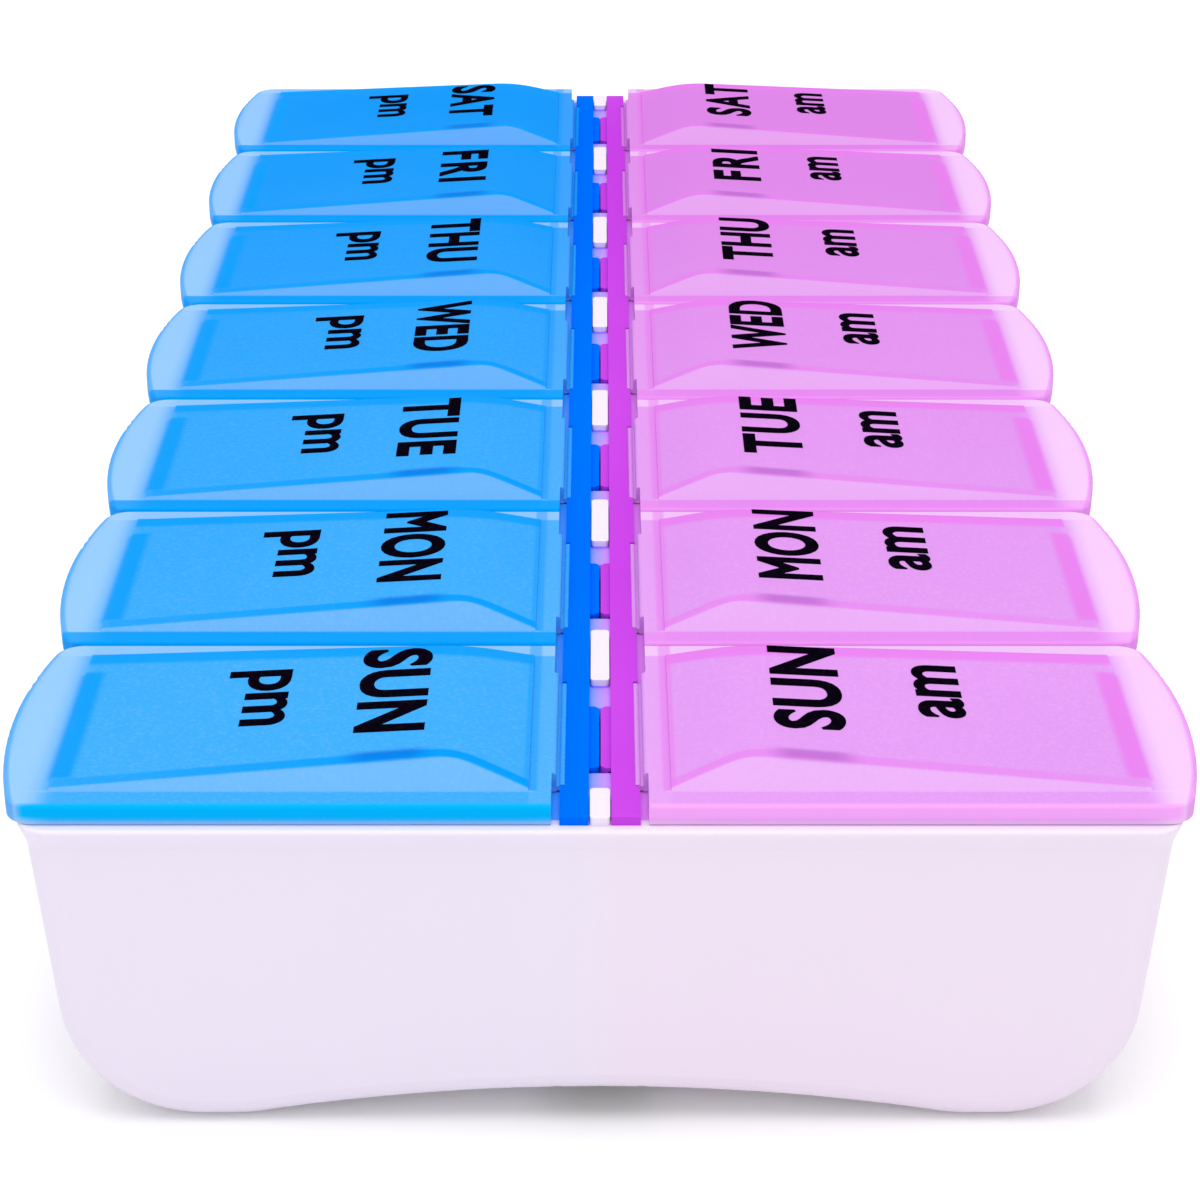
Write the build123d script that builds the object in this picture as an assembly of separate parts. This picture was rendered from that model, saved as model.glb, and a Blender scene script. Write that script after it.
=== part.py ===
"""Weekly pill organizer: a tray with two compartments for each day, and a hinged lid on each.

Millimetres, Z up. The week runs along Y from Sunday at the near end. Morning compartments lie on
the +X side and evening ones on the -X side. The origin is on the floor, under the tray's middle.
"""

from build123d import *
import math
import os

# The week, from the near end, and the two sides of the tray
DAYS = ("sun", "mon", "tue", "wed", "thu", "fri", "sat")
MORNING, EVENING = "am", "pm"

# Cuts run past the faces that they open by this much
OVERRUN = 1.0

# Tray: outer form
ROW_PITCH = 30.0
TRAY_HEIGHT = 30.9
WALL_HALF_WIDTH = 48.5
WALL_DRAFT = 4.2
END_DRAFT = 3.0
END_MARGIN = 0.4
CORNER_RADIUS = 12.0
FOOT_FLAT = 4.1
FOOT_BLEND_RADIUS = 12.0
ARCH_RISE = 2.9
END_EDGE_RADIUS = 2.5

# Tray: rim bead round the top
RIM_REACH = 0.5
RIM_BAND = 0.4
RIM_COVE = 2.6
RIM_EDGE_RADIUS = 0.3

# Tray: compartments
WALL = 1.4
DIVIDER = 1.5
DIVIDER_EDGE_RADIUS = 0.5
POCKET_INNER_RADIUS = 6.0
POCKET_EDGE_RADIUS = 2.0

# Tray: hollow spine between the two rows, with posts and windows in its deck
SPINE_HALF_WIDTH = 5.6
DECK = 1.6
POST_HALF_WIDTH = 0.85
POST_LENGTH = 10.2
POST_CORNER_RADIUS = 0.4
WINDOW_HALF_WIDTH = 1.05
WINDOW_END_CLEARANCE = 0.3

# Hinge strips: one flat bar a side, hooked through the windows
STRIP_THICKNESS = 0.8
STRIP_OUTER_HALF = 3.4
STRIP_POST_CLEARANCE = 0.1
TAB_LENGTH = 11.3
TAB_INNER_HALF = 0.06
TAB_RISE = 0.35
TAB_CHAMFER = 0.4
HOOK_LEG = 0.7
HOOK_REACH = 0.6
HOOK_LAND = 0.5
HOOK_POINT = 0.8
HOOK_CLEARANCE = 0.1

# Hinge line: a round bead on the lid turns in a groove of the strip
HINGE_HALF = 3.2
HINGE_HEIGHT = 0.42
BEAD_RADIUS = 0.36
BEAD_CLEARANCE = 0.07
WEB_LENGTH = 18.6
WEB_THICKNESS = 0.4
WEB_END_CLEARANCE = 0.3
STRIP_REBATE = 0.2

# Lids: border, outline and shell
LID_GAP = 0.3
LID_SEAT_GAP = 0.1
LID_BORDER_HEIGHT = 1.8
LID_HINGE_SETBACK = 0.5
LID_NOTCH = 0.4
LIP_REACH = 2.5
LIP_BOW = 2.2
LID_CORNER_RADIUS = 2.6
LID_INNER_CORNER_RADIUS = 0.5
LID_EDGE_RADIUS = 0.35
LID_WALL = 1.2

# Lids: raised wave in the middle
HUMP_INNER_BORDER = 2.3
HUMP_SIDE_BORDER = 2.3
HUMP_OUTER_BORDER = 5.2
HUMP_NEAR_SLOPE = 36.0
HUMP_FAR_SLOPE = 50.0
CREST_INSET = 6.3
CREST_RISE = 2.1
CREST_RADIUS = 17.0
HUMP_INNER_RISE = 0.25
HUMP_OUTER_RISE = 0.25
HUMP_EDGE_RADIUS = 0.5

# Lids: latch rib under the outer end, just inside the tray's wall
LATCH_LENGTH = 17.4
LATCH_THICKNESS = 1.9
LATCH_DEPTH = 2.6
LATCH_CLEARANCE = 0.35
LATCH_EDGE_RADIUS = 0.5

# Places worked out from the sizes above
wall_lean = math.radians(WALL_DRAFT)
end_lean = math.radians(END_DRAFT)
near_slope = math.radians(HUMP_NEAR_SLOPE)
far_slope = math.radians(HUMP_FAR_SLOPE)
row_centres = [(row - (len(DAYS) - 1) / 2) * ROW_PITCH for row in range(len(DAYS))]
row_lines = [(row - len(DAYS) / 2) * ROW_PITCH for row in range(len(DAYS) + 1)]
end_half = len(DAYS) * ROW_PITCH / 2 + END_MARGIN
deck_bottom = TRAY_HEIGHT - DECK
strip_inner_half = POST_HALF_WIDTH + STRIP_POST_CLEARANCE
hinge_z = TRAY_HEIGHT + HINGE_HEIGHT
lid_bottom = TRAY_HEIGHT + LID_SEAT_GAP
lid_top = lid_bottom + LID_BORDER_HEIGHT
lid_half = (ROW_PITCH - LID_GAP) / 2
lid_inner = HINGE_HALF + LID_HINGE_SETBACK
lid_apex = WALL_HALF_WIDTH + RIM_REACH + LIP_REACH
hump_inner = lid_inner + HUMP_INNER_BORDER
hump_outer = lid_apex - HUMP_OUTER_BORDER
hump_half = lid_half - HUMP_SIDE_BORDER


def wall_half_at(height):
    """Half-width of the drafted side wall at a height above the floor."""
    return WALL_HALF_WIDTH + (height - TRAY_HEIGHT) * math.tan(wall_lean)


def end_half_at(height):
    """Half-length of the drafted end wall at a height above the floor."""
    return end_half + (height - TRAY_HEIGHT) * math.tan(end_lean)


def tray_section(extra_height):
    """Tray seen from its end: drafted walls, round lower corners, two flat feet, arched middle."""
    top = TRAY_HEIGHT + extra_height
    corner_run = CORNER_RADIUS * math.tan(math.pi / 4 - wall_lean / 2)
    foot_inner = wall_half_at(0) - corner_run - FOOT_FLAT
    walls = Polyline(
        (-foot_inner, 0),
        (-wall_half_at(0), 0),
        (-wall_half_at(top), top),
        (wall_half_at(top), top),
        (wall_half_at(0), 0),
        (foot_inner, 0),
    )
    arch = ThreePointArc((foot_inner, 0), (0, ARCH_RISE), (-foot_inner, 0))
    section = make_face(walls.edges() + arch.edges())
    across = section.vertices().sort_by(Axis.X)
    section = fillet([across[2], across[-3]], FOOT_BLEND_RADIUS)
    across = section.vertices().sort_by(Axis.X)
    return fillet([across[1], across[-2]], CORNER_RADIUS)


def between_ends(inset):
    """Block between the two drafted end walls, or between their inner faces one wall further in."""
    slant = inset / math.cos(end_lean)
    low, high = -OVERRUN, TRAY_HEIGHT + inset
    side_view = make_face(
        Polyline(
            (slant - end_half_at(low), low),
            (end_half_at(low) - slant, low),
            (end_half_at(high) - slant, high),
            (slant - end_half_at(high), high),
            close=True,
        )
    )
    return extrude(Plane.YZ * side_view, amount=WALL_HALF_WIDTH, both=True)


def round_ends(block, radius):
    """Round the edge of each end face of a block, apart from its top."""
    along = block.faces().sort_by(Axis.Y)
    top = block.faces().sort_by(Axis.Z)[-1].center().Z
    edges = [edge for end in (along[0], along[-1]) for edge in end.edges()]
    return fillet([edge for edge in edges if edge.center().Z < top - radius], radius)


def tray_body():
    """Solid outer form of the tray, with the edge of each end wall rounded."""
    lengthwise = extrude(Plane.XZ * tray_section(0), amount=end_half, both=True)
    return round_ends(lengthwise & between_ends(0), END_EDGE_RADIUS)


def rim_bead():
    """Bead round the top of the tray, coved into the walls below it."""
    outline = RectangleRounded(
        2 * (WALL_HALF_WIDTH + RIM_REACH),
        2 * (end_half + RIM_REACH),
        END_EDGE_RADIUS + RIM_REACH,
    )
    band = extrude(Plane.XY.offset(TRAY_HEIGHT) * outline, amount=-RIM_BAND)
    lean = math.degrees(math.atan2(RIM_REACH + RIM_REACH, RIM_COVE))
    cove = extrude(Plane.XY.offset(TRAY_HEIGHT - RIM_BAND) * outline, amount=-RIM_COVE, taper=lean)
    bead = band + cove
    return fillet(bead.faces().sort_by(Axis.Z)[-1].edges(), RIM_EDGE_RADIUS)


def pocket_section():
    """Morning compartment seen from its end, one wall inside the tray's outer form."""
    inside = offset(tray_section(2 * WALL), -WALL)
    width = WALL_HALF_WIDTH - SPINE_HALF_WIDTH
    beside_spine = Pos(SPINE_HALF_WIDTH + width / 2, TRAY_HEIGHT / 2) * Rectangle(width, 2 * TRAY_HEIGHT)
    section = inside & beside_spine
    heel = section.vertices().group_by(Axis.X)[0].sort_by(Axis.Y)[0]
    return fillet(heel, POCKET_INNER_RADIUS)


def trough():
    """Morning row's space before it is divided: a scoop from end wall to end wall, its ends rounded."""
    block = extrude(Plane.XZ * pocket_section(), amount=end_half, both=True)
    return round_ends(block & between_ends(WALL), POCKET_EDGE_RADIUS)


def divider():
    """Plate across the morning trough, between two days, with its top edges rounded."""
    below_rim = Pos(WALL_HALF_WIDTH / 2, TRAY_HEIGHT / 2) * Rectangle(WALL_HALF_WIDTH, TRAY_HEIGHT)
    plate = extrude(Plane.XZ * (pocket_section() & below_rim), amount=DIVIDER / 2, both=True)
    top_edges = plate.edges().filter_by(Axis.X).group_by(Axis.Z)[-1]
    return fillet(top_edges, DIVIDER_EDGE_RADIUS)


def spine_spaces(y):
    """Spaces of one day in the spine: the hollow under its deck and the window through the deck."""
    channel = Pos(0, y, (deck_bottom - OVERRUN) / 2) * Box(
        2 * (SPINE_HALF_WIDTH - WALL), ROW_PITCH - DIVIDER, deck_bottom + OVERRUN
    )
    window = Pos(0, y, deck_bottom + DECK / 2) * Box(
        2 * WINDOW_HALF_WIDTH, TAB_LENGTH + 2 * WINDOW_END_CLEARANCE, DECK + 2 * OVERRUN
    )
    return [channel & between_ends(WALL), window]


def post(length):
    """Upright on the deck that keeps the two hinge strips apart."""
    outline = RectangleRounded(2 * POST_HALF_WIDTH, length, POST_CORNER_RADIUS)
    return extrude(Plane.XY.offset(TRAY_HEIGHT) * outline, amount=STRIP_THICKNESS)


def tray():
    """Tray without its dividers: body and rim, two troughs, the hollow spine, its windows and posts."""
    morning = trough()
    troughs = [morning, mirror(morning, about=Plane.YZ)]
    shell = tray_body() + rim_bead() - troughs - [space for y in row_centres for space in spine_spaces(y)]
    half_post = POST_LENGTH / 2
    middle = [Pos(0, y, 0) * post(POST_LENGTH) for y in row_lines[1:-1]]
    near = Pos(0, row_lines[0] + half_post / 2, 0) * post(half_post)
    far = Pos(0, row_lines[-1] - half_post / 2, 0) * post(half_post)
    return shell + [*middle, near, far]


def dividers():
    """All plates between the days, in both troughs."""
    morning = divider()
    pair = [morning, mirror(morning, about=Plane.YZ)]
    return Compound([Pos(0, y, 0) * plate for y in row_lines[1:-1] for plate in pair])


def strip_hook():
    """Tab of the morning strip that bends down through a window and barbs under the deck."""
    leg_outer = TAB_INNER_HALF + HOOK_LEG
    barb_top = deck_bottom - HOOK_CLEARANCE
    barb_low = barb_top - HOOK_LAND
    profile = make_face(
        Polyline(
            (TAB_INNER_HALF, TRAY_HEIGHT + TAB_RISE),
            (strip_inner_half + STRIP_THICKNESS, TRAY_HEIGHT + TAB_RISE),
            (strip_inner_half + STRIP_THICKNESS, TRAY_HEIGHT),
            (leg_outer, TRAY_HEIGHT),
            (leg_outer, barb_top),
            (leg_outer + HOOK_REACH, barb_top),
            (leg_outer + HOOK_REACH, barb_low),
            (leg_outer, barb_low - HOOK_POINT),
            (TAB_INNER_HALF, barb_low - HOOK_POINT),
            close=True,
        )
    )
    hook = extrude(Plane.XZ * profile, amount=TAB_LENGTH / 2, both=True)
    inner_corners = hook.edges().filter_by(Axis.Z).group_by(Axis.X)[0]
    return chamfer(inner_corners, TAB_CHAMFER)


def hinge_strip():
    """Morning strip: flat bar beside the posts, with a hook and a grooved hinge edge for each day."""
    length = 2 * (row_lines[-1] - LID_GAP / 2)
    width = STRIP_OUTER_HALF - strip_inner_half
    bar = Pos(strip_inner_half + width / 2, 0, TRAY_HEIGHT + STRIP_THICKNESS / 2) * Box(
        width, length, STRIP_THICKNESS
    )
    bay = WEB_LENGTH + 2 * WEB_END_CLEARANCE
    rebate_inner = HINGE_HALF - STRIP_REBATE
    rebate = Pos(rebate_inner + width / 2, 0, hinge_z) * Box(width, bay, 2 * STRIP_THICKNESS)
    groove = Pos(HINGE_HALF, 0, hinge_z) * Rot(90, 0, 0) * Cylinder(BEAD_RADIUS + BEAD_CLEARANCE, bay)
    hook = strip_hook()
    hooks = [Pos(0, y, 0) * hook for y in row_centres]
    cuts = [Pos(0, y, 0) * cut for y in row_centres for cut in (rebate, groove)]
    return bar + hooks - cuts


def lid_outline(inset):
    """Plan of a lid's border: straight hinge edge and sides, bowed outer end, round outer corners."""
    inner = lid_inner + inset
    half = lid_half - inset
    corner = lid_apex - LIP_BOW - inset
    straight = Polyline((corner, -half), (inner, -half), (inner, half), (corner, half))
    bow = ThreePointArc((corner, half), (lid_apex - inset, 0), (corner, -half))
    outline = make_face(straight.edges() + bow.edges())
    across = outline.vertices().sort_by(Axis.X)
    outline = fillet(across[-2:], LID_CORNER_RADIUS - inset)
    return fillet(outline.vertices().sort_by(Axis.X)[:2], LID_INNER_CORNER_RADIUS)


def hump_wave():
    """Side view of the raised wave: steep inner slope, round crest, long fall to the outer end."""
    base = lid_bottom - LID_WALL
    wave = make_face(
        Polyline(
            (hump_inner, base),
            (hump_inner, lid_top + HUMP_INNER_RISE),
            (hump_inner + CREST_INSET, lid_top + CREST_RISE),
            (hump_outer, lid_top + HUMP_OUTER_RISE),
            (hump_outer, base),
            close=True,
        )
    )
    crest = wave.vertices().sort_by(Axis.Y)[-1]
    return fillet(crest, CREST_RADIUS)


def hump(wall):
    """Raised wave between a gentle near slope and a steep far one, one wall smaller for its inside."""
    low = lid_top - wall
    high = lid_top + CREST_RISE
    near = wall * math.tan(near_slope / 2) - hump_half
    far = hump_half - wall * math.tan(far_slope / 2)
    side_view = make_face(
        Polyline(
            (near, low),
            (near + (high - low) / math.tan(near_slope), high),
            (far - (high - low) / math.tan(far_slope), high),
            (far, low),
            close=True,
        )
    )
    slopes = extrude(Plane.YZ * side_view, amount=lid_apex)
    wave = offset(hump_wave(), -wall) if wall else hump_wave()
    return slopes & extrude(Plane.XZ * wave, amount=lid_half, both=True)


def lid_outside():
    """Outer form of a lid: border plate with rounded top edge, and the raised wave on it."""
    plate = extrude(Plane.XY.offset(lid_bottom) * lid_outline(0), amount=LID_BORDER_HEIGHT)
    plate = fillet(plate.faces().sort_by(Axis.Z)[-1].edges(), LID_EDGE_RADIUS)
    wave = hump(0)
    along = wave.faces().sort_by(Axis.Y)
    ends_top = lid_top + max(HUMP_INNER_RISE, HUMP_OUTER_RISE)
    slope_edges = [edge for slope in (along[0], along[-1]) for edge in slope.edges()]
    ridge = [edge for edge in slope_edges if edge.center().Z > ends_top]
    return plate + fillet(ridge, HUMP_EDGE_RADIUS)


def lid_inside():
    """Space under a lid, open at the bottom."""
    under = extrude(
        Plane.XY.offset(lid_bottom - OVERRUN) * lid_outline(LID_WALL),
        amount=LID_BORDER_HEIGHT + OVERRUN - LID_WALL,
    )
    return under + hump(LID_WALL)


def latch_rib():
    """Rib under the lid's outer end that grips inside the tray's outer wall."""
    foot = TRAY_HEIGHT - LATCH_DEPTH
    outer = wall_half_at(foot) - WALL - LATCH_CLEARANCE
    head = lid_top + HUMP_OUTER_RISE - LID_WALL / 2
    rib = Pos(outer - LATCH_THICKNESS / 2, 0, (foot + head) / 2) * Box(
        LATCH_THICKNESS, LATCH_LENGTH, head - foot
    )
    return fillet(rib.faces().sort_by(Axis.Z)[0].edges(), LATCH_EDGE_RADIUS)


def hinge_web():
    """Thin web from the lid's inner edge, ending in the round bead on the hinge line."""
    bead = Pos(HINGE_HALF, 0, hinge_z) * Rot(90, 0, 0) * Cylinder(BEAD_RADIUS, WEB_LENGTH)
    reach = LID_HINGE_SETBACK + LID_WALL / 2
    web = Pos(HINGE_HALF + reach / 2, 0, hinge_z) * Box(reach, WEB_LENGTH, WEB_THICKNESS)
    return bead + web


def lid():
    """Morning lid: thin shell with its latch rib, hinge web and two notches beside the web."""
    shell = lid_outside() - lid_inside() + latch_rib()
    run = lid_half - WEB_LENGTH / 2
    notch = Pos(lid_inner, WEB_LENGTH / 2 + run / 2, lid_bottom) * Box(
        2 * LID_NOTCH, run, 2 * LID_BORDER_HEIGHT + 2 * OVERRUN
    )
    return shell - [notch, mirror(notch, about=Plane.XZ)] + hinge_web()


def main():
    """Write one file for each piece of the organizer."""
    os.makedirs("parts", exist_ok=True)
    pieces = {"tray": tray(), "dividers": dividers()}
    strip, cover = hinge_strip(), lid()
    sides = {
        MORNING: (strip, cover),
        EVENING: (mirror(strip, about=Plane.YZ), mirror(cover, about=Plane.YZ)),
    }
    for side, (side_strip, side_lid) in sides.items():
        pieces[f"{side}_hinge_strip"] = side_strip
        for day, y in zip(DAYS, row_centres):
            pieces[f"{side}_lid_{day}"] = Pos(0, y, 0) * side_lid
    for name, piece in pieces.items():
        export_step(piece, f"parts/{name}.step")


main()
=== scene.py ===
"""Looks of a weekly pill organizer: white tray, tinted frosted lids and the days printed on them.

Metres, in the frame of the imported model: the week runs along +Y from Sunday, the morning lids lie at
+X and the evening lids at -X, and Z is up.
"""

import logging
import math
from dataclasses import dataclass
from enum import Enum

import bpy
from mathutils import Matrix, Vector
from mathutils.bvhtree import BVHTree
from mathutils.geometry import delaunay_2d_cdt


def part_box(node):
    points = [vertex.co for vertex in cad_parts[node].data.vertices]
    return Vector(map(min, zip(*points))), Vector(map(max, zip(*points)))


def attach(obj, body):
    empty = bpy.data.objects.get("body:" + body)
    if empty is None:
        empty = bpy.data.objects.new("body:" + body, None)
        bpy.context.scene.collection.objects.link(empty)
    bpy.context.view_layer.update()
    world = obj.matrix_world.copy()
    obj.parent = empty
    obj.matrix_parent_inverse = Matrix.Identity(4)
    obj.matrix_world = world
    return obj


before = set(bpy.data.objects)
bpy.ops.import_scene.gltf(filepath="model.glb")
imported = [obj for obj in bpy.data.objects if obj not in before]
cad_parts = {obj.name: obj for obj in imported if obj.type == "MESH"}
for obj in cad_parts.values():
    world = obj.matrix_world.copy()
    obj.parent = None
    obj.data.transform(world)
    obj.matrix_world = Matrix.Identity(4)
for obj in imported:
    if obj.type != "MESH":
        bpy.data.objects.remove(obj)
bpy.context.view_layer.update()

LOG = logging.getLogger("pill_organizer")

Colour = tuple[float, float, float]
Span = tuple[float, float]
Socket = bpy.types.NodeSocket
FlatMesh = tuple[list[Vector], list[tuple[int, ...]]]

WHITE: Colour = (1.0, 1.0, 1.0)
BLACK: Colour = (0.0, 0.0, 0.0)

# The day names on a lid: how far the letters' top is from the spine, and how tall they are, in metres.
DAY_TOP = 0.0150
DAY_HEIGHT = 0.0062


class Side(Enum):
    """Row of compartments, named by the time of day."""

    MORNING = "am"
    EVENING = "pm"

    @property
    def sign(self) -> int:
        """Direction of this side from the spine, along X."""
        return 1 if self is Side.MORNING else -1


class Day(Enum):
    """Day of the week, in order from the near end of the tray."""

    SUNDAY = "sun"
    MONDAY = "mon"
    TUESDAY = "tue"
    WEDNESDAY = "wed"
    THURSDAY = "thu"
    FRIDAY = "fri"
    SATURDAY = "sat"


class Sketch:
    """Short way to add nodes to a node tree and to join them."""

    # The Mix node's sockets for colours go by number, because their names repeat for each kind of data.
    MIX_SHARE = 0
    MIX_FIRST = 6
    MIX_SECOND = 7
    MIX_RESULT = 2
    SOFT_EDGE = 0.0003

    def __init__(self, tree: bpy.types.NodeTree) -> None:
        """Keep the tree that the nodes go into."""
        self.tree = tree

    def node(
        self, kind: str, inputs: dict[str, object] | None = None, **settings: object
    ) -> bpy.types.Node:
        """Add a node.

        Args:
            kind: Blender's name of the node's type.
            inputs: values or sockets for the node's inputs, by input name.
            settings: values of the node's own properties.

        Returns:
            The new node.
        """
        made = self.tree.nodes.new(kind)
        for name, value in settings.items():
            setattr(made, name, value)
        for name, value in (inputs or {}).items():
            self.feed(made.inputs[name], value)
        return made

    def feed(self, socket: Socket, value: object) -> None:
        """Give a socket a plain value, or join another socket to it."""
        if isinstance(value, Socket):
            self.tree.links.new(value, socket)
        else:
            socket.default_value = value

    def shade(self, values: dict[str, object]) -> None:
        """Feed the inputs of the material's own shader, by input name."""
        shader = self.tree.nodes["Principled BSDF"]
        for name, value in values.items():
            self.feed(shader.inputs[name], value)

    def place(self) -> Socket:
        """Object coordinates."""
        return self.node("ShaderNodeTexCoord").outputs["Object"]

    def math(self, operation: str, *values: object) -> Socket:
        """Work out one step of arithmetic.

        Args:
            operation: Blender's name of the operation.
            values: numbers or sockets, in the node's own order.

        Returns:
            The socket that holds the result.
        """
        made = self.node("ShaderNodeMath", operation=operation)
        for socket, value in zip(made.inputs, values):
            self.feed(socket, value)
        return made.outputs[0]

    def product(self, first: Socket, *others: object) -> Socket:
        """Multiply a socket by numbers or other sockets, one after the other."""
        for other in others:
            first = self.math("MULTIPLY", first, other)
        return first

    def ramp(self, value: Socket, low: float, high: float) -> Socket:
        """Smooth step from 0 at low to 1 at high; low may be the larger of the two."""
        span = {"Value": value, "From Min": low, "From Max": high}
        return self.node("ShaderNodeMapRange", span, interpolation_type="SMOOTHSTEP").outputs["Result"]

    def window(self, value: Socket, low: float, high: float, soft: float = SOFT_EDGE) -> Socket:
        """One between low and high, and zero outside them, with soft edges."""
        rising = self.ramp(value, low - soft / 2, low + soft / 2)
        return self.product(rising, self.ramp(value, high + soft / 2, high - soft / 2))

    def noise(self, place: Socket, size: float, detail: float) -> Socket:
        """Noise with patches of about one size, in metres."""
        made = self.node("ShaderNodeTexNoise", {"Vector": place, "Scale": 1 / size, "Detail": detail})
        return made.outputs["Fac"]

    def mix(self, share: object, first: object, second: object) -> Socket:
        """Mix two colours, with share as the weight of the second."""
        made = self.node("ShaderNodeMix", data_type="RGBA")
        self.feed(made.inputs[self.MIX_SHARE], share)
        self.feed(made.inputs[self.MIX_FIRST], first)
        self.feed(made.inputs[self.MIX_SECOND], second)
        return made.outputs[self.MIX_RESULT]


def opaque(colour: Colour) -> tuple[float, float, float, float]:
    """Colour with full alpha, as Blender's sockets want it."""
    return (*colour, 1.0)


def blank_material(name: str) -> tuple[bpy.types.Material, Sketch]:
    """Material with a plain shader, and a sketch of its nodes.

    Args:
        name: the material's name.

    Returns:
        The material and the sketch.
    """
    material = bpy.data.materials.new(name)
    material.use_nodes = True
    return material, Sketch(material.node_tree)


def plain_mesh(holder: bpy.types.Object) -> bpy.types.Mesh:
    """Work out an object's font or modifiers.

    Args:
        holder: the object, linked to the scene.

    Returns:
        A new mesh with the shape that the object shows.
    """
    depsgraph = bpy.context.evaluated_depsgraph_get()
    depsgraph.update()
    return bpy.data.meshes.new_from_object(holder.evaluated_get(depsgraph), depsgraph=depsgraph)


@dataclass(frozen=True)
class MouldedPlastic:
    """Polypropylene from a finely textured mould, with a faint cloud of colour and gloss.

    Fields give the colour, the gloss, the size and depth of the mould's grain and how far light
    scatters inside, in metres. A span is the part of a noise over which it takes effect.
    """

    name: str
    colour: Colour
    shade: Colour
    roughness: float = 0.42
    roughness_spread: float = 0.1
    grain: float = 0.0003
    grain_depth: float = 0.000004
    grain_detail: float = 2.0
    cloud: float = 0.025
    gloss_detail: float = 3.0
    gloss_span: Span = (0.3, 0.7)
    cloud_detail: float = 4.0
    cloud_span: Span = (0.35, 0.7)
    specular: float = 0.2
    ior: float = 1.49
    subsurface: float = 0.0
    scatter: float = 0.002
    transmission: float = 0.0

    def make(self) -> bpy.types.Material:
        """Build the material.

        Returns:
            A material that reads Object coordinates only.
        """
        material, sketch = blank_material(self.name)
        place = sketch.place()
        gloss = sketch.ramp(sketch.noise(place, self.cloud, self.gloss_detail), *self.gloss_span)
        smoothest = self.roughness - self.roughness_spread / 2
        grain = sketch.noise(place, self.grain, self.grain_detail)
        relief = {"Height": grain, "Distance": self.grain_depth, "Strength": 1.0}
        sketch.shade(
            {
                "Base Color": self.tint(sketch, place),
                "Roughness": sketch.math("MULTIPLY_ADD", gloss, self.roughness_spread, smoothest),
                "Normal": sketch.node("ShaderNodeBump", relief).outputs["Normal"],
                "IOR": self.ior,
                "Specular IOR Level": self.specular,
                "Transmission Weight": self.transmission,
                "Subsurface Weight": self.subsurface,
                "Subsurface Radius": (self.scatter, self.scatter, self.scatter),
                "Subsurface Scale": 1.0,
            }
        )
        return material

    def tint(self, sketch: Sketch, place: Socket) -> Socket:
        """Colour over the surface: the plain colour, clouded by the shade.

        Args:
            sketch: the material's nodes.
            place: Object coordinates.

        Returns:
            The socket that holds the colour.
        """
        cloud = sketch.noise(place, 2 * self.cloud, self.cloud_detail)
        return sketch.mix(sketch.ramp(cloud, *self.cloud_span), opaque(self.colour), opaque(self.shade))


@dataclass(frozen=True)
class TrayPlastic(MouldedPlastic):
    """White polypropylene with painted light: a faint blue or pink tint of the light through the lids on
    either side of the spine.

    The deck under the hinge strips takes a stronger painted light, blue and violet from the strips: the
    fields for the deck's painted light give its colours and reach.
    """

    # Painted light: tints of the light through the evening and morning lids, how much of them shows, and
    # how wide their meeting at the spine is.
    evening_lid_light: Colour = WHITE
    morning_lid_light: Colour = WHITE
    lid_light_share: float = 0.5
    lid_light_split: float = 0.004
    # Painted light on the deck under the hinge strips: its colours, strength and reach.
    evening_deck_light: Colour = WHITE
    morning_deck_light: Colour = WHITE
    deck_light_share: float = 0.95
    deck_light_half_width: float = 0.0056
    deck_light_half_length: float = 0.1040
    deck_light_bottom: float = 0.0290
    deck_light_top: float = 0.0311
    deck_light_edge: float = 0.0001

    def tint(self, sketch: Sketch, place: Socket) -> Socket:
        """Colour over the tray: the clouded white, with the painted tint of light from the lids on its
        side, and stronger painted coloured light on the deck.

        Args:
            sketch: the material's nodes.
            place: Object coordinates.

        Returns:
            The socket that holds the colour.
        """
        axes = sketch.node("ShaderNodeSeparateXYZ", {"Vector": place}).outputs
        # Painted light: the tray takes the blue or pink tint of the light through the lids on its side.
        side = sketch.ramp(axes["X"], -self.lid_light_split / 2, self.lid_light_split / 2)
        lid_light = sketch.mix(side, opaque(self.evening_lid_light), opaque(self.morning_lid_light))
        colour = sketch.mix(self.lid_light_share, super().tint(sketch, place), lid_light)
        # Painted light: blue and violet light through the strips, strong on the deck under them.
        deck_light = sketch.mix(side, opaque(self.evening_deck_light), opaque(self.morning_deck_light))
        deck_light_mask = sketch.product(
            sketch.window(axes["X"], -self.deck_light_half_width, self.deck_light_half_width),
            sketch.window(axes["Y"], -self.deck_light_half_length, self.deck_light_half_length),
            sketch.window(axes["Z"], self.deck_light_bottom, self.deck_light_top, self.deck_light_edge),
            self.deck_light_share,
        )
        return sketch.mix(deck_light_mask, colour, deck_light)


@dataclass(frozen=True)
class LidForm:
    """Places on a lid that its colour follows, in metres, as the frame's lids have them.

    Lengths run out from the spine, along the week from the lid's middle, or up from the floor. The
    slopes are in degrees.
    """

    pitch: float = 0.0300
    half: float = 0.01485
    bottom: float = 0.0310
    hinge: float = 0.0037
    apex: float = 0.0515
    bow: float = 0.0022
    slope_base: float = 0.01255
    near_slope: float = 36.0
    far_slope: float = 50.0
    inner: float = 0.0060
    crest: float = 0.0123
    crest_rounding: float = 0.0006
    outer: float = 0.0463
    crest_rise: float = 0.0020
    end_rise: float = 0.00025
    latch_inner: float = 0.0446
    latch_outer: float = 0.0466
    latch_half: float = 0.0087
    word_top: float = DAY_TOP
    word_bottom: float = DAY_TOP + DAY_HEIGHT

    @classmethod
    def measured(cls) -> "LidForm":
        """Form whose pitch, length and reach are those of the frame's first two lids."""
        low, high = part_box("am_lid_sun")
        next_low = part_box("am_lid_mon")[0]
        return cls(pitch=next_low.y - low.y, half=(high.y - low.y) / 2, apex=high.x)


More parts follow.
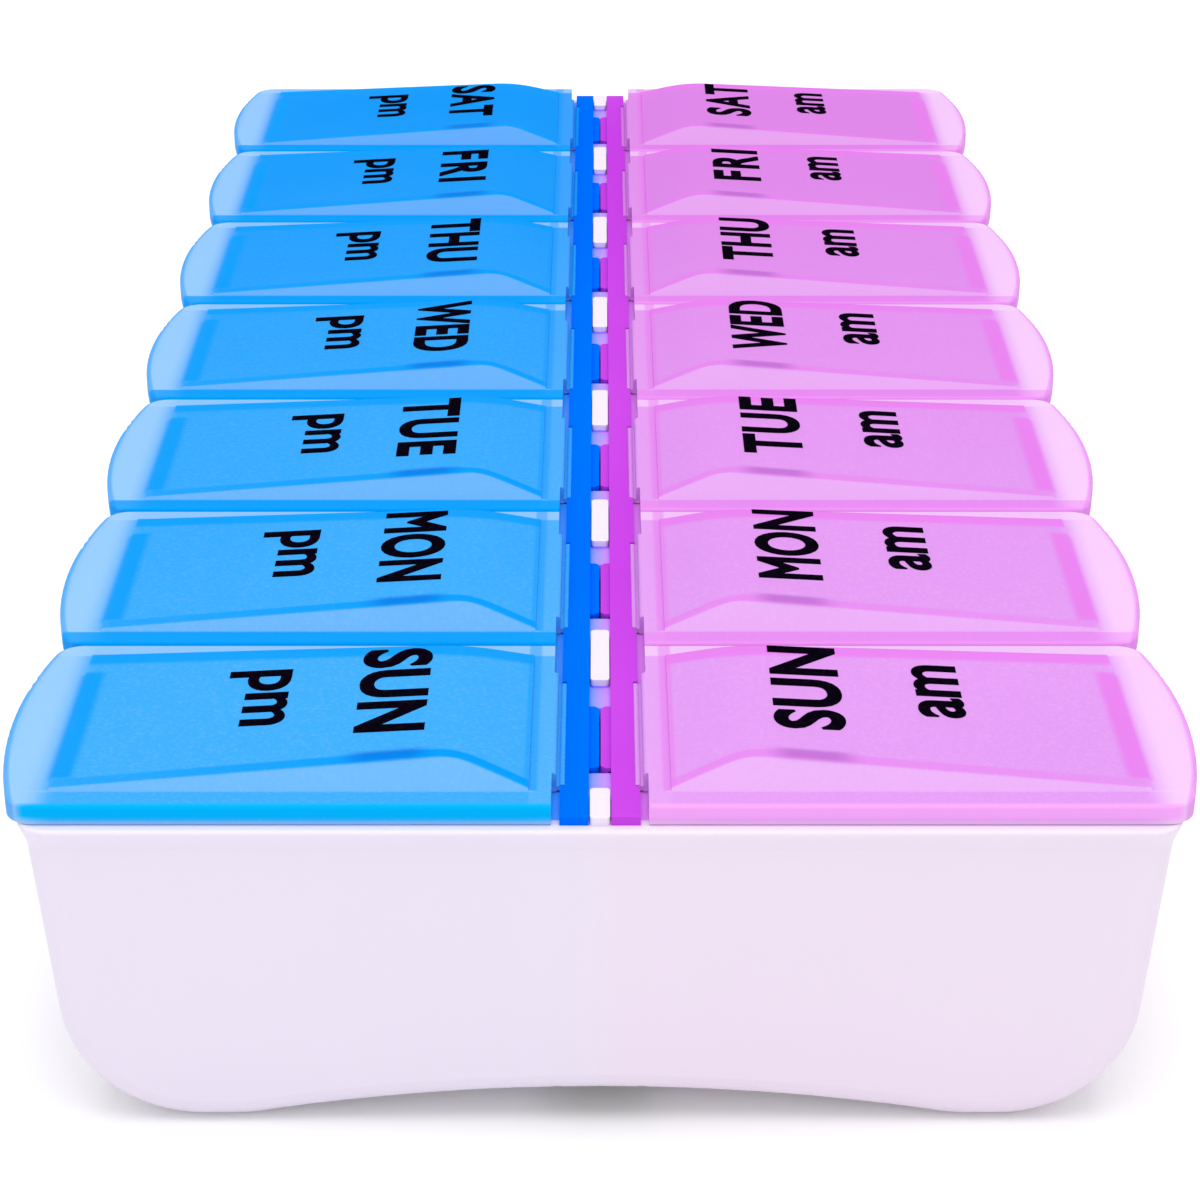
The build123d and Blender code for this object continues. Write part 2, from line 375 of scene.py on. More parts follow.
@dataclass(frozen=True)
class LidBands:
    """How far the bands of colour on a lid reach from the lines of its form, in metres.

    A soft field is the width over which a band's edge fades. The week's spans run along the tray.
    """

    week: Span = (-0.100, 0.100)
    week_start: Span = (-0.100, -0.080)
    slope_edge: Span = (0.0001, -0.0001)
    lower_edge: Span = (0.0006, 0.0001)
    lip_start: float = 0.0006
    lip_soft: float = 0.0028
    side_along: Span = (0.0006, 0.0001)
    side_up: Span = (0.0001, 0.0008)
    near_ridge: Span = (0.0, 0.0013)
    near_ridge_soft: float = 0.0004
    near_ridge_fade: Span = (0.085, 0.010)
    far_ridge: Span = (-0.0004, 0.0020)
    far_ridge_soft: float = 0.0008
    inner_end: Span = (-0.0007, 0.0004)
    latch_start: float = 0.0020
    latch_end_soft: float = 0.0008
    latch_soft: float = 0.0009
    rim: Span = (-0.0010, 0.0005)
    print_bend: Span = (0.0001, 0.0017)
    print_bend_soft: float = 0.0008
    print_soft: float = 0.0030


class LidMap:
    """Distances over a lid, worked out from Object coordinates by nodes."""

    def __init__(self, sketch: Sketch, place: Socket, form: LidForm) -> None:
        """Work out the distances.

        Args:
            sketch: the material's nodes.
            place: Object coordinates.
            form: places on the lid.
        """
        axes = sketch.node("ShaderNodeSeparateXYZ", {"Vector": place}).outputs
        reach = len(Day) * form.pitch
        turn = sketch.math("FLOORED_MODULO", sketch.math("ADD", axes["Y"], reach / 2), form.pitch)
        self.week = axes["Y"]
        self.out = sketch.math("ABSOLUTE", axes["X"])
        self.along = sketch.math("SUBTRACT", turn, form.pitch / 2)
        self.up = sketch.math("SUBTRACT", axes["Z"], form.bottom)
        height = self._wave_height(sketch, form)
        near_run = sketch.math("DIVIDE", height, math.tan(math.radians(form.near_slope)))
        far_run = sketch.math("DIVIDE", height, math.tan(math.radians(form.far_slope)))
        from_near = sketch.math("ADD", self.along, form.slope_base)
        self.behind_near_ridge = sketch.math("SUBTRACT", from_near, near_run)
        to_far = sketch.math("SUBTRACT", form.slope_base, self.along)
        self.before_far_ridge = sketch.math("SUBTRACT", to_far, far_run)
        bowed = sketch.product(self.along, self.along, form.bow / form.half**2)
        self.within_lip = sketch.math("SUBTRACT", form.apex, sketch.math("ADD", self.out, bowed))

    def _wave_height(self, sketch: Sketch, form: LidForm) -> Socket:
        """Height of the raised wave above the border.

        Args:
            sketch: the material's nodes.
            form: places on the lid.

        Returns:
            The socket that holds the height.
        """
        rise = form.crest_rise - form.end_rise
        climb = sketch.math("SUBTRACT", self.out, form.inner)
        climb = sketch.math("MULTIPLY_ADD", climb, rise / (form.crest - form.inner), form.end_rise)
        fall = sketch.math("SUBTRACT", form.outer, self.out)
        fall = sketch.math("MULTIPLY_ADD", fall, rise / (form.outer - form.crest), form.end_rise)
        return sketch.math("SMOOTH_MIN", climb, fall, form.crest_rounding)


@dataclass(frozen=True)
class FrostedPlastic(MouldedPlastic):
    """Frosted tinted polypropylene, deep in colour where its wall is thick, with painted highlights along
    its edges and on its lit faces.

    A share is how much of a layer's own colour shows in it: pale for painted light, deep, or dim for the
    painted reflection of the print.
    """

    deep: Colour = BLACK
    # Colour of the painted highlights, glow and sparkle.
    pale: Colour = WHITE
    # Colour of the painted reflection of the print.
    dim: Colour = BLACK
    # Colour of the painted light on the near side of the border.
    side: Colour = BLACK
    # Painted shade: colour the lids take towards the far end of the week, and how much of it.
    far: Colour = BLACK
    far_shade_share: float = 0.95
    # Painted light: shares of the highlights on the near slope, the far border, the hinge edge, the lip
    # and the lower edge.
    near_slope_share: float = 0.36
    far_border_share: float = 0.70
    hinge_edge_share: float = 0.10
    lip_share: float = 0.80
    lower_edge_share: float = 0.60
    near_ridge_share: float = 1.0
    far_ridge_share: float = 0.90
    inner_end_share: float = 0.55
    latch_share: float = 0.90
    rim_share: float = 0.55
    # Strength of the painted shade on the near border of every lid but the first.
    near_border_shade_share: float = 0.0
    # Strength of the painted reflection of the print.
    print_reflection_share: float = 0.7
    # Painted sparkle: size, detail, reach and strength of the pale specks over the frosted skin.
    sparkle: float = 0.0004
    sparkle_detail: float = 2.0
    sparkle_span: Span = (0.45, 0.75)
    sparkle_share: float = 0.14
    form: LidForm = LidForm()
    bands: LidBands = LidBands()

    def tint(self, sketch: Sketch, place: Socket) -> Socket:
        """Colour over the lid: the clouded tint with painted shade towards the far end, painted sparkle,
        painted highlights, painted light on the near side, deep layers and the painted reflection of the
        print.

        Args:
            sketch: the material's nodes.
            place: Object coordinates.

        Returns:
            The socket that holds the colour.
        """
        where = LidMap(sketch, place, self.form)
        colour = super().tint(sketch, place)
        # Painted shade: the lids turn deeper towards the far end of the week.
        far = sketch.product(sketch.ramp(where.week, *self.bands.week), self.far_shade_share)
        colour = sketch.mix(far, colour, opaque(self.far))
        # Painted sparkle: pale specks over the frosted skin, fewer towards the far end of the week.
        frosted = sketch.ramp(sketch.noise(place, self.sparkle, self.sparkle_detail), *self.sparkle_span)
        frosted = sketch.product(frosted, self.sparkle_share, sketch.math("SUBTRACT", 1.0, far))
        colour = sketch.mix(frosted, colour, opaque(self.pale))
        # Painted highlights and glow where the lid catches the light.
        for share, mask in self.painted_light_layers(sketch, where):
            colour = sketch.mix(sketch.product(mask, share), colour, opaque(self.pale))
        # Painted light on the near side of the border.
        colour = sketch.mix(self.lit_near_side(sketch, where), colour, opaque(self.side))
        # Deep where the wall is thick or something lies behind it, with painted shade on the near
        # borders.
        for share, mask in self.deep_layers(sketch, where):
            colour = sketch.mix(sketch.product(mask, share), colour, opaque(self.deep))
        # Painted reflection of the day's print in the bend of the near ridge.
        return sketch.mix(self.painted_print_reflection(sketch, where), colour, opaque(self.dim))

    def painted_print_reflection(self, sketch: Sketch, where: LidMap) -> Socket:
        """Share of the dim colour: a painted reflection of the day's print, blurred, in the bend of the
        near ridge.

        Args:
            sketch: the material's nodes.
            where: distances over the lid.

        Returns:
            The socket that holds the share.
        """
        form, bands = self.form, self.bands
        bend = sketch.window(where.behind_near_ridge, *bands.print_bend, bands.print_bend_soft)
        under_word = sketch.window(where.out, form.word_top, form.word_bottom, bands.print_soft)
        return sketch.product(bend, under_word, self.print_reflection_share)

    def lit_near_side(self, sketch: Sketch, where: LidMap) -> Socket:
        """Share of the side's own colour: painted light on the near side of the border, above its pale
        lower edge.

        Args:
            sketch: the material's nodes.
            where: distances over the lid.

        Returns:
            The socket that holds the share.
        """
        start, full = self.bands.side_along
        near = sketch.ramp(where.along, start - self.form.half, full - self.form.half)
        return sketch.product(near, sketch.ramp(where.up, *self.bands.side_up))

    def painted_light_layers(self, sketch: Sketch, where: LidMap) -> list[tuple[float, Socket]]:
        """Painted light: places where the lid catches the light, painted as highlights and glow.

        Args:
            sketch: the material's nodes.
            where: distances over the lid.

        Returns:
            Share and mask of the near slope, the far border, the hinge edge, the lip and the lower edge.
        """
        form, bands = self.form, self.bands
        near_slope = sketch.product(
            sketch.window(where.along, -form.slope_base, form.half),
            sketch.ramp(where.behind_near_ridge, *bands.slope_edge),
        )
        lip = sketch.window(where.out, form.outer + bands.lip_start, form.apex, bands.lip_soft)
        return [
            (self.near_slope_share, near_slope),
            (self.far_border_share, sketch.window(where.along, form.slope_base, form.half)),
            (self.hinge_edge_share, sketch.window(where.out, form.hinge, form.inner)),
            (self.lip_share, lip),
            (self.lower_edge_share, sketch.ramp(where.up, *bands.lower_edge)),
        ]

    def deep_layers(self, sketch: Sketch, where: LidMap) -> list[tuple[float, Socket]]:
        """Places where the plastic is thick, or where something lies behind it, and painted shade on the
        near border.

        Args:
            sketch: the material's nodes.
            where: distances over the lid.

        Returns:
            Share and mask of the near ridge, the far ridge, the wave's inner end, the latch rib, the
            lip's rim and the painted shade on the near border of every lid but the first.
        """
        form, bands = self.form, self.bands
        raised = sketch.window(where.out, form.inner, form.outer)
        near_ridge = sketch.product(
            sketch.window(where.behind_near_ridge, *bands.near_ridge, bands.near_ridge_soft),
            sketch.ramp(where.out, *bands.near_ridge_fade),
            raised,
        )
        far_ridge = sketch.window(where.before_far_ridge, *bands.far_ridge, bands.far_ridge_soft)
        before, after = bands.inner_end
        inner_end = sketch.product(
            sketch.window(where.out, form.inner + before, form.inner + after),
            sketch.window(where.behind_near_ridge, 0.0, form.pitch),
        )
        latch_near = -form.latch_half - bands.latch_start
        latch = sketch.product(
            sketch.window(where.along, latch_near, form.latch_half, bands.latch_end_soft),
            sketch.window(where.out, form.latch_inner, form.latch_outer, bands.latch_soft),
        )
        # Painted shade: the near border of every lid but the first is deeper.
        near_border_shade = sketch.product(
            sketch.window(where.along, -form.half, -form.slope_base),
            sketch.ramp(where.week, *bands.week_start),
        )
        return [
            (self.near_ridge_share, near_ridge),
            (self.far_ridge_share, sketch.product(far_ridge, raised)),
            (self.inner_end_share, inner_end),
            (self.latch_share, latch),
            (self.rim_share, sketch.window(where.within_lip, *bands.rim)),
            (self.near_border_shade_share, near_border_shade),
        ]


@dataclass(frozen=True)
class PadInk:
    """Matt black pad-printed ink, with faint specks of a worn colour."""

    name: str = "print_ink"
    colour: Colour = (0.002, 0.001, 0.004)
    worn: Colour = (0.006, 0.003, 0.010)
    speck: float = 0.0004
    speck_detail: float = 2.0
    speck_span: Span = (0.45, 0.75)
    roughness: float = 0.5
    specular: float = 0.0

    def make(self) -> bpy.types.Material:
        """Build the material.

        Returns:
            A material that reads Object coordinates only.
        """
        material, sketch = blank_material(self.name)
        speck = sketch.noise(sketch.place(), self.speck, self.speck_detail)
        share = sketch.ramp(speck, *self.speck_span)
        sketch.shade(
            {
                "Base Color": sketch.mix(share, opaque(self.colour), opaque(self.worn)),
                "Roughness": self.roughness,
                "Specular IOR Level": self.specular,
            }
        )
        return material


class InkDrape:
    """Geometry tree that lays flat letters on a lid's top and gives the ink its thickness."""

    UP = (0.0, 0.0, 1.0)
    DOWN = (0.0, 0.0, -1.0)
    WELD = 0.000001

    def __init__(self) -> None:
        """Build the tree once, for every lid."""
        self.tree = bpy.data.node_groups.new("ink_drape", "GeometryNodeTree")
        face = self.tree.interface
        face.new_socket("Letters", in_out="INPUT", socket_type="NodeSocketGeometry")
        for name, kind in (
            ("Lid", "NodeSocketObject"),
            ("Ink Thickness", "NodeSocketFloat"),
            ("Lift", "NodeSocketFloat"),
            ("Drop Height", "NodeSocketFloat"),
            ("Ink", "NodeSocketMaterial"),
        ):
            face.new_socket(name, in_out="INPUT", socket_type=kind)
        face.new_socket("Print", in_out="OUTPUT", socket_type="NodeSocketGeometry")
        self._wire(Sketch(self.tree))

    def _wire(self, sketch: Sketch) -> None:
        """Join the tree's nodes: drop the letters on the lid, raise the ink, close it underneath.

        Args:
            sketch: the tree's nodes.
        """
        given = sketch.node("NodeGroupInput").outputs
        lid = sketch.node("GeometryNodeObjectInfo", {"Object": given["Lid"]}, transform_space="ORIGINAL")
        above = sketch.node("ShaderNodeCombineXYZ", {"Z": given["Drop Height"]})
        start = sketch.node("ShaderNodeVectorMath", operation="ADD")
        sketch.feed(start.inputs[0], sketch.node("GeometryNodeInputPosition").outputs[0])
        sketch.feed(start.inputs[1], above.outputs[0])
        fall = sketch.node(
            "GeometryNodeRaycast",
            {
                "Target Geometry": lid.outputs["Geometry"],
                "Source Position": start.outputs[0],
                "Ray Direction": self.DOWN,
                "Ray Length": given["Drop Height"],
            },
        )
        lift = sketch.node("ShaderNodeCombineXYZ", {"Z": given["Lift"]})
        laid = sketch.node(
            "GeometryNodeSetPosition",
            {
                "Geometry": given["Letters"],
                "Position": fall.outputs["Hit Position"],
                "Offset": lift.outputs[0],
            },
        )
        raised = sketch.node(
            "GeometryNodeExtrudeMesh",
            {
                "Mesh": laid.outputs[0],
                "Offset": self.UP,
                "Offset Scale": given["Ink Thickness"],
                "Individual": False,
            },
            mode="FACES",
        )
        under = sketch.node("GeometryNodeFlipFaces", {"Mesh": laid.outputs[0]})
        both = sketch.node("GeometryNodeJoinGeometry")
        sketch.feed(both.inputs[0], raised.outputs[0])
        sketch.feed(both.inputs[0], under.outputs[0])
        welded = {"Geometry": both.outputs[0], "Distance": self.WELD}
        closed = sketch.node("GeometryNodeMergeByDistance", welded)
        real = sketch.node("GeometryNodeRealizeInstances", {"Geometry": closed.outputs[0]})
        wet = {"Geometry": real.outputs[0], "Material": given["Ink"]}
        inked = sketch.node("GeometryNodeSetMaterial", wet)
        sketch.node("NodeGroupOutput", {"Print": inked.outputs[0]})

    def apply(self, piece: bpy.types.Object, values: dict[str, object]) -> None:
        """Run the tree on a flat mesh and keep the result as a plain mesh.

        Args:
            piece: object that holds the flat letters.
            values: the tree's inputs, by name.
        """
        modifier = piece.modifiers.new("ink_drape", "NODES")
        modifier.node_group = self.tree
        for item in self.tree.interface.items_tree:
            if item.in_out == "INPUT" and item.name in values:
                modifier[item.identifier] = values[item.name]
        done = plain_mesh(piece)
        piece.modifiers.remove(modifier)
        piece.data = done


@dataclass(frozen=True)
class Pen:
    """Pen that makes flat letters bolder, in the font's own units, in which a line is one unit tall.

    The longest mitre is in widths of the growth. The snap joins corners that lie closer than that,
    and the touch is how near a part lies to the ink that covers it.
    """

    longest_mitre: float = 1.0
    snap: float = 0.001
    touch: float = 0.00001

    # Blender's number for a triangulation that leaves out what lies outside its outline.
    INSIDE = 1

    def thicken(self, points: list[Vector], faces: list[tuple[int, ...]], width: float) -> FlatMesh:
        """Grow letters by one width all round, with square corners and no fold where strokes meet.

        Args:
            points: corner points of the letters.
            faces: faces of the letters, counter-clockwise.
            width: how far the outline moves out.

        Returns:
            Corner points and faces of the grown letters, in one layer without overlaps.
        """
        edges = {pair for ring in faces for pair in zip(ring, ring[1:] + ring[:1])}
        following = {start: end for start, end in edges if (end, start) not in edges}
        headings = {
            start: (points[end] - points[start]).normalized() for start, end in following.items()
        }
        outwards = {start: Vector((way.y, -way.x)) * width for start, way in headings.items()}
        mitres = {}
        for start, end in following.items():
            turn = -headings[start].angle_signed(headings[end])
            mitres[end] = width * min(math.tan(max(turn, 0.0) / 2), self.longest_mitre)
        grown = list(points)
        cover = list(faces)
        for start, end in following.items():
            tail = points[start] - headings[start] * mitres[start]
            tip = points[end] + headings[start] * mitres[end]
            rings = [[tail + outwards[start], tip + outwards[start], tip, tail]]
            if mitres[end] == width * self.longest_mitre:
                beyond = points[end] - headings[end] * mitres[end] + outwards[end]
                rings.append([points[end], tip + outwards[start], beyond])
            for ring in rings:
                cover.append(tuple(range(len(grown), len(grown) + len(ring))))
                grown += ring
        return self._merge(grown, cover)

    def _merge(self, points: list[Vector], cover: list[tuple[int, ...]]) -> FlatMesh:
        """Merge overlapping faces into one layer.

        Args:
            points: corner points of the faces.
            cover: the faces, which may overlap.

        Returns:
            Corner points and triangles of the layer.
        """
        corners, _, parts = delaunay_2d_cdt(points, [], cover, self.INSIDE, self.snap)[:3]
        ink = BVHTree.FromPolygons([point.to_3d() for point in points], cover)
        kept = []
        for part in parts:
            middle = sum((corners[i] for i in part), Vector((0.0, 0.0))) / len(part)
            if ink.find_nearest(middle.to_3d(), self.touch)[0] is not None:
                kept.append(tuple(part))
        return list(corners), kept


@dataclass(frozen=True)
class Word:
    """Printed word: its letters, its size on the lid and where it stands, in metres.

    top is the distance of the letters' top from the spine, and along the place of the word's middle
    from the lid's middle, towards the far end of the week. The spacing is a factor on the font's own,
    the weight is how far the outline moves out in font units, and steps divides each curve.
    """

    text: str
    length: float
    height: float
    top: float
    along: float
    spacing: float = 1.0
    weight: float = 0.036
    steps: int = 6
    pen: Pen = Pen()

    def flat(self, side: Side, middle: float) -> FlatMesh:
        """Outline the word flat in plan, at zero height.

        Args:
            side: side of the tray, which sets the way that the word reads.
            middle: place of the lid's middle along Y.

        Returns:
            Corner points and faces of the letters.
        """
        points, faces = self.pen.thicken(*self._thin(), self.weight)
        left, right = min(p.x for p in points), max(p.x for p in points)
        low, high = -self.weight, max(p.y for p in points)
        sign = side.sign
        placed = []
        for p in points:
            across = (p.x - (left + right) / 2) / (right - left) * self.length
            down = (high - p.y) / (high - low) * self.height
            placed.append(Vector((sign * (self.top + down), middle + self.along + sign * across, 0.0)))
        return placed, faces

    def _thin(self) -> FlatMesh:
        """Fill the letters of the built-in font, before they are made bold.

        Returns:
            Corner points and faces of the letters, in font units.
        """
        curve = bpy.data.curves.new(self.text, "FONT")
        curve.body = self.text
        curve.space_character = self.spacing
        curve.resolution_u = self.steps
        holder = bpy.data.objects.new(self.text, curve)
        bpy.context.scene.collection.objects.link(holder)
        mesh = plain_mesh(holder)
        bpy.data.objects.remove(holder)
        bpy.data.curves.remove(curve)
        points = [vertex.co.to_2d() for vertex in mesh.vertices]
        faces = [tuple(face.vertices) for face in mesh.polygons]
        bpy.data.meshes.remove(mesh)
        return points, faces


def dress_node(node: str, finish: bpy.types.Material) -> None:
    """Put one finish in every material slot of a node.

    Args:
        node: the node's name.
        finish: the finish that it wears.
    """
    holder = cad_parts[node]
    if not holder.material_slots:
        holder.data.materials.append(finish)
    for slot in holder.material_slots:
        slot.material = finish
    LOG.info("dressed %s", node)


@dataclass
class Lid:
    """One lid of one day: the frame's solid with its frosted finish, and the print on top of it."""

    side: Side
    day: Day
    ink_thickness: float = 0.00004
    ink_lift: float = 0.000004
    drop_height: float = 0.1

    @property
    def node(self) -> str:
        """Name of the lid's node, which is also its body's name."""
        return f"{self.side.value}_lid_{self.day.value}"

    def dress(self, finish: bpy.types.Material) -> None:
        """Give the lid's solid its finish."""
        dress_node(self.node, finish)

    def print_words(
        self, words: list[Word], drape: InkDrape, ink: bpy.types.Material
    ) -> bpy.types.Object:
        """Print the words on the lid.

        Args:
            words: what is printed and where.
            drape: tree that lays the letters on the lid.
            ink: the print's finish.

        Returns:
            The print, riding on the lid.
        """
        low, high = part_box(self.node)
        points: list[Vector] = []
        faces: list[tuple[int, ...]] = []
        for word in words:
            more, rings = word.flat(self.side, (low.y + high.y) / 2)
            faces += [tuple(i + len(points) for i in ring) for ring in rings]
            points += more
        mesh = bpy.data.meshes.new(f"{self.side.value}_print_{self.day.value}")
        mesh.from_pydata(points, [], faces)
        piece = bpy.data.objects.new(mesh.name, mesh)
        bpy.context.scene.collection.objects.link(piece)
        drape.apply(
            piece,
            {
                "Lid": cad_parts[self.node],
                "Ink Thickness": self.ink_thickness,
                "Lift": self.ink_lift,
                "Drop Height": self.drop_height,
                "Ink": ink,
            },
        )
        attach(piece, self.node)
        LOG.info("printed %s with %d faces", piece.name, len(piece.data.polygons))
        return piece


@dataclass
class Organizer:
    """Whole organizer: which finish each piece wears, and what is printed on each lid."""

    tray_finish: TrayPlastic
    strip_finishes: dict[Side, MouldedPlastic]
    lid_finishes: dict[Side, FrostedPlastic]
    ink: PadInk
    day_words: dict[Side, dict[Day, Word]]
    marks: dict[Side, Word]

    def build(self) -> None:
        """Dress the frame's nodes and print the lids."""
        white = self.tray_finish.make()
        for node in ("tray", "dividers"):
            dress_node(node, white)
        ink = self.ink.make()
        drape = InkDrape()
        for side in Side:
            dress_node(f"{side.value}_hinge_strip", self.strip_finishes[side].make())
            frosted = self.lid_finishes[side].make()
            for day in Day:
                lid = Lid(side, day)
                lid.dress(frosted)
                lid.print_words([self.day_words[side][day], self.marks[side]], drape, ink)


@dataclass(frozen=True)
class Lamp:
    """Square soft lamp that looks at the organizer: its place and side in metres, its power in watts."""

    name: str
    place: tuple[float, float, float]
    size: float
    power: float

    def hang(self) -> None:
        """Hang the lamp in the scene."""
        light = bpy.data.lights.new(self.name, "AREA")
        light.size = self.size
        light.energy = self.power
        lamp = bpy.data.objects.new(self.name, light)
        place = Vector(self.place)
        turn = (-place).to_track_quat("-Z", "Y").to_matrix().to_4x4()
        lamp.matrix_world = Matrix.Translation(place) @ turn
        bpy.context.scene.collection.objects.link(lamp)


@dataclass(frozen=True)
class Studio:
    """White floor and surround, two soft lamps, and the camera.

    The floor glows a little where it is seen, more so far away. The camera's pitch is in degrees down
    from level, and its lens and film are in millimetres.
    """

    floor_size: float = 4.0
    floor_colour: Colour = (0.9, 0.9, 0.9)
    floor_roughness: float = 0.9
    floor_drop: float = 0.0001
    near_glow: float = 0.1
    far_glow: float = 0.35
    glow_start: float = 0.35
    glow_end: float = 1.0
    surround: float = 0.80
    lamps: tuple[Lamp, ...] = (
        Lamp("key_lamp", (0.0, -0.2, 1.2), 0.9, 7.2),
        Lamp("fill_lamp", (0.0, -1.1, 0.5), 0.8, 1.2),
    )
    camera_place: tuple[float, float, float] = (0.0, -0.3216, 0.1573)
    camera_pitch: float = 25.95
    camera_nearest: float = 0.01
    lens: float = 90.0
    film: float = 36.0

    def build(self) -> None:
        """Set the stage, the light and the camera."""
        self.set_colours()
        self.lay_floor()
        self.light_surround()
        for lamp in self.lamps:
            lamp.hang()
        self.place_camera()

    def set_colours(self) -> None:
        """Show colours as they are written."""
        bpy.context.scene.view_settings.view_transform = "Standard"

    def lay_floor(self) -> None:
        """Lay the white floor, which keeps the organizer's shadow."""
        half = self.floor_size / 2
        below = -self.floor_drop
        corners = [(-half, -half, below), (half, -half, below), (half, half, below), (-half, half, below)]
        mesh = bpy.data.meshes.new("floor")
        mesh.from_pydata(corners, [], [(0, 1, 2, 3)])
        floor = bpy.data.objects.new("floor", mesh)
        bpy.context.scene.collection.objects.link(floor)
        material, sketch = blank_material("floor_white")
        away = sketch.node("ShaderNodeVectorMath", {"Vector": sketch.place()}, operation="LENGTH")
        far = sketch.ramp(away.outputs["Value"], self.glow_start, self.glow_end)
        glow = sketch.math("MULTIPLY_ADD", far, self.far_glow - self.near_glow, self.near_glow)
        sketch.shade(
            {
                "Base Color": opaque(self.floor_colour),
                "Roughness": self.floor_roughness,
                "Specular IOR Level": 0.0,
                "Emission Color": opaque(WHITE),
                "Emission Strength": sketch.product(self.seen(sketch), glow),
            }
        )
        mesh.materials.append(material)

    def seen(self, sketch: Sketch) -> Socket:
        """One where the camera sees a surface, straight, in a gloss or through a clear piece."""
        path = sketch.node("ShaderNodeLightPath").outputs
        straight = sketch.math("MAXIMUM", path["Is Camera Ray"], path["Is Glossy Ray"])
        return sketch.math("MAXIMUM", straight, path["Is Transmission Ray"])

    def light_surround(self) -> None:
        """Surround everything with soft white light, seen as plain white."""
        world = bpy.data.worlds.new("surround")
        world.use_nodes = True
        bpy.context.scene.world = world
        sketch = Sketch(world.node_tree)
        back = world.node_tree.nodes["Background"]
        strength = sketch.math("MULTIPLY_ADD", self.seen(sketch), 1.0 - self.surround, self.surround)
        sketch.feed(back.inputs["Color"], opaque(WHITE))
        sketch.feed(back.inputs["Strength"], strength)

    def place_camera(self) -> None:
        """Stand the camera at the near end, looking down along the week."""
        optics = bpy.data.cameras.new("camera")
        optics.lens = self.lens
        optics.sensor_width = self.film
        optics.clip_start = self.camera_nearest
        camera = bpy.data.objects.new("camera", optics)
        turn = Matrix.Rotation(math.radians(90 - self.camera_pitch), 4, "X")
        camera.matrix_world = Matrix.Translation(Vector(self.camera_place)) @ turn
        bpy.context.scene.collection.objects.link(camera)
        bpy.context.scene.camera = camera


@dataclass(frozen=True)
class DayPrint:
    """Print of one day: the word's length on the lid, in metres, and the spacing of its letters."""

    length: float
    spacing: float


DAY_PRINTS = {
    Day.SUNDAY: DayPrint(0.0156, 1.08),
    Day.MONDAY: DayPrint(0.0158, 1.06),
    Day.TUESDAY: DayPrint(0.0154, 1.12),
    Day.WEDNESDAY: DayPrint(0.0158, 1.08),
    Day.THURSDAY: DayPrint(0.0158, 1.06),
    Day.FRIDAY: DayPrint(0.0130, 1.24),
    Day.SATURDAY: DayPrint(0.0150, 1.15),
}
DAY_ALONG = {Side.MORNING: 0.0030, Side.EVENING: 0.0026}
MARK_WEIGHT = 0.024


def day_words(side: Side) -> dict[Day, Word]:
    """Words for the days on one side.

    Args:
        side: side of the tray.

    Returns:
        One word for each day.
    """
    return {
        day: Word(day.value.upper(), form.length, DAY_HEIGHT, DAY_TOP, DAY_ALONG[side], form.spacing)
        for day, form in DAY_PRINTS.items()
    }


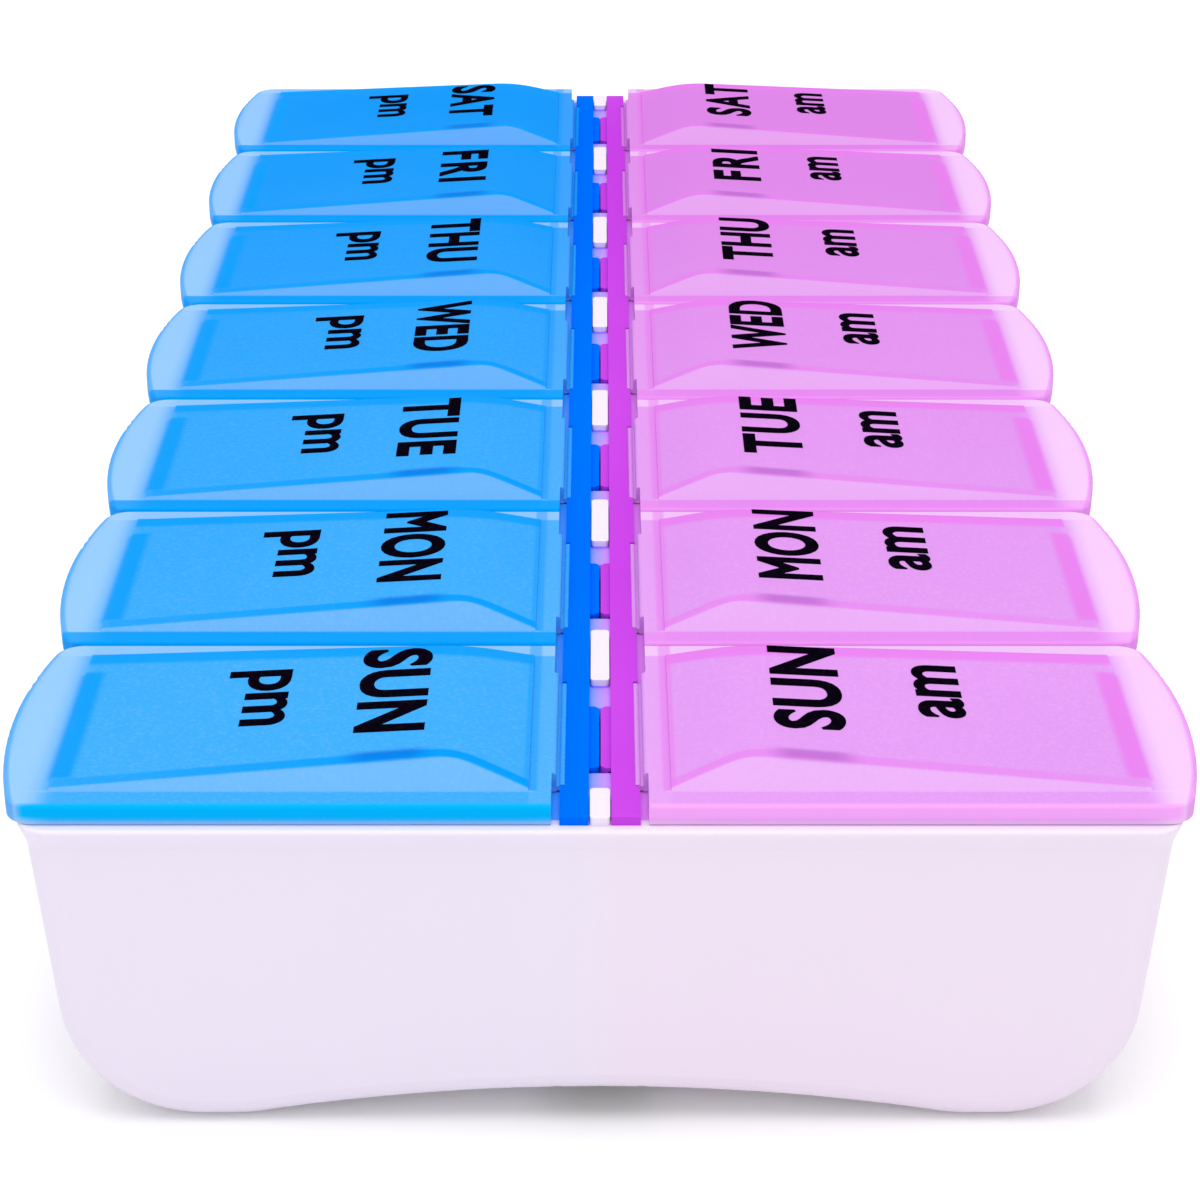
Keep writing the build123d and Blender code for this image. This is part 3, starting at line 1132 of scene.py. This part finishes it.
def organizer() -> Organizer:
    """Choose the finishes and the print of this organizer.

    Returns:
        The organizer, not yet built.
    """
    form = LidForm.measured()
    LOG.info("lids %.5f apart, half length %.5f, reach %.5f", form.pitch, form.half, form.apex)
    return Organizer(
        tray_finish=TrayPlastic(
            "tray_white_plastic",
            colour=(0.80, 0.73, 0.855),
            shade=(0.785, 0.715, 0.84),
            subsurface=0.15,
            # Painted light: tints of the light through the evening and morning lids.
            evening_lid_light=(0.765, 0.715, 0.845),
            morning_lid_light=(0.815, 0.69, 0.815),
            # Painted light on the deck under the hinge strips.
            evening_deck_light=(0.0, 0.33, 1.0),
            morning_deck_light=(0.78, 0.22, 0.92),
        ),
        strip_finishes={
            Side.MORNING: MouldedPlastic(
                "am_strip_plastic",
                colour=(0.53, 0.062, 0.69),
                shade=(0.49, 0.047, 0.66),
                roughness=0.6,
                specular=0.0,
            ),
            Side.EVENING: MouldedPlastic(
                "pm_strip_plastic",
                colour=(0.0, 0.15, 0.94),
                shade=(0.0, 0.13, 0.91),
                roughness=0.6,
                specular=0.0,
            ),
        },
        lid_finishes={
            Side.MORNING: FrostedPlastic(
                "am_lid_plastic",
                colour=(0.775, 0.35, 0.885),
                shade=(0.755, 0.335, 0.865),
                deep=(0.81, 0.22, 0.85),
                # Colour of the painted highlights, glow and sparkle.
                pale=(0.92, 0.66, 0.95),
                # Colour of the painted reflection of the print.
                dim=(0.45, 0.13, 0.58),
                # Colour of the painted light on the near side of the border.
                side=(0.97, 0.43, 1.0),
                # Painted shade towards the far end of the week.
                far=(0.72, 0.235, 0.79),
                near_ridge_share=0.6,
                # Painted shade on the near borders behind the first lid.
                near_border_shade_share=0.5,
                roughness=0.6,
                specular=0.04,
                ior=1.15,
                transmission=0.2,
                form=form,
            ),
            Side.EVENING: FrostedPlastic(
                "pm_lid_plastic",
                colour=(0.050, 0.43, 0.97),
                shade=(0.042, 0.415, 0.955),
                deep=(0.0, 0.35, 0.96),
                # Colour of the painted highlights, glow and sparkle.
                pale=(0.38, 0.64, 0.98),
                # Colour of the painted reflection of the print.
                dim=(0.0, 0.17, 0.72),
                # Colour of the painted light on the near side of the border.
                side=(0.0, 0.50, 1.0),
                # Painted shade towards the far end of the week.
                far=(0.0, 0.32, 0.93),
                # Painted shade on the near borders behind the first lid.
                near_border_shade_share=0.9,
                roughness=0.6,
                specular=0.04,
                ior=1.15,
                transmission=0.2,
                form=form,
            ),
        },
        ink=PadInk(),
        day_words={side: day_words(side) for side in Side},
        marks={
            Side.MORNING: Word("am", 0.0099, 0.0041, 0.0278, 0.0034, weight=MARK_WEIGHT),
            Side.EVENING: Word("pm", 0.0104, 0.0039, 0.0274, 0.0022, weight=MARK_WEIGHT),
        },
    )


def main() -> None:
    """Build the organizer's looks and the studio round it."""
    logging.basicConfig(level=logging.INFO, format="%(message)s")
    organizer().build()
    Studio().build()


if __name__ == "__main__":
    main()
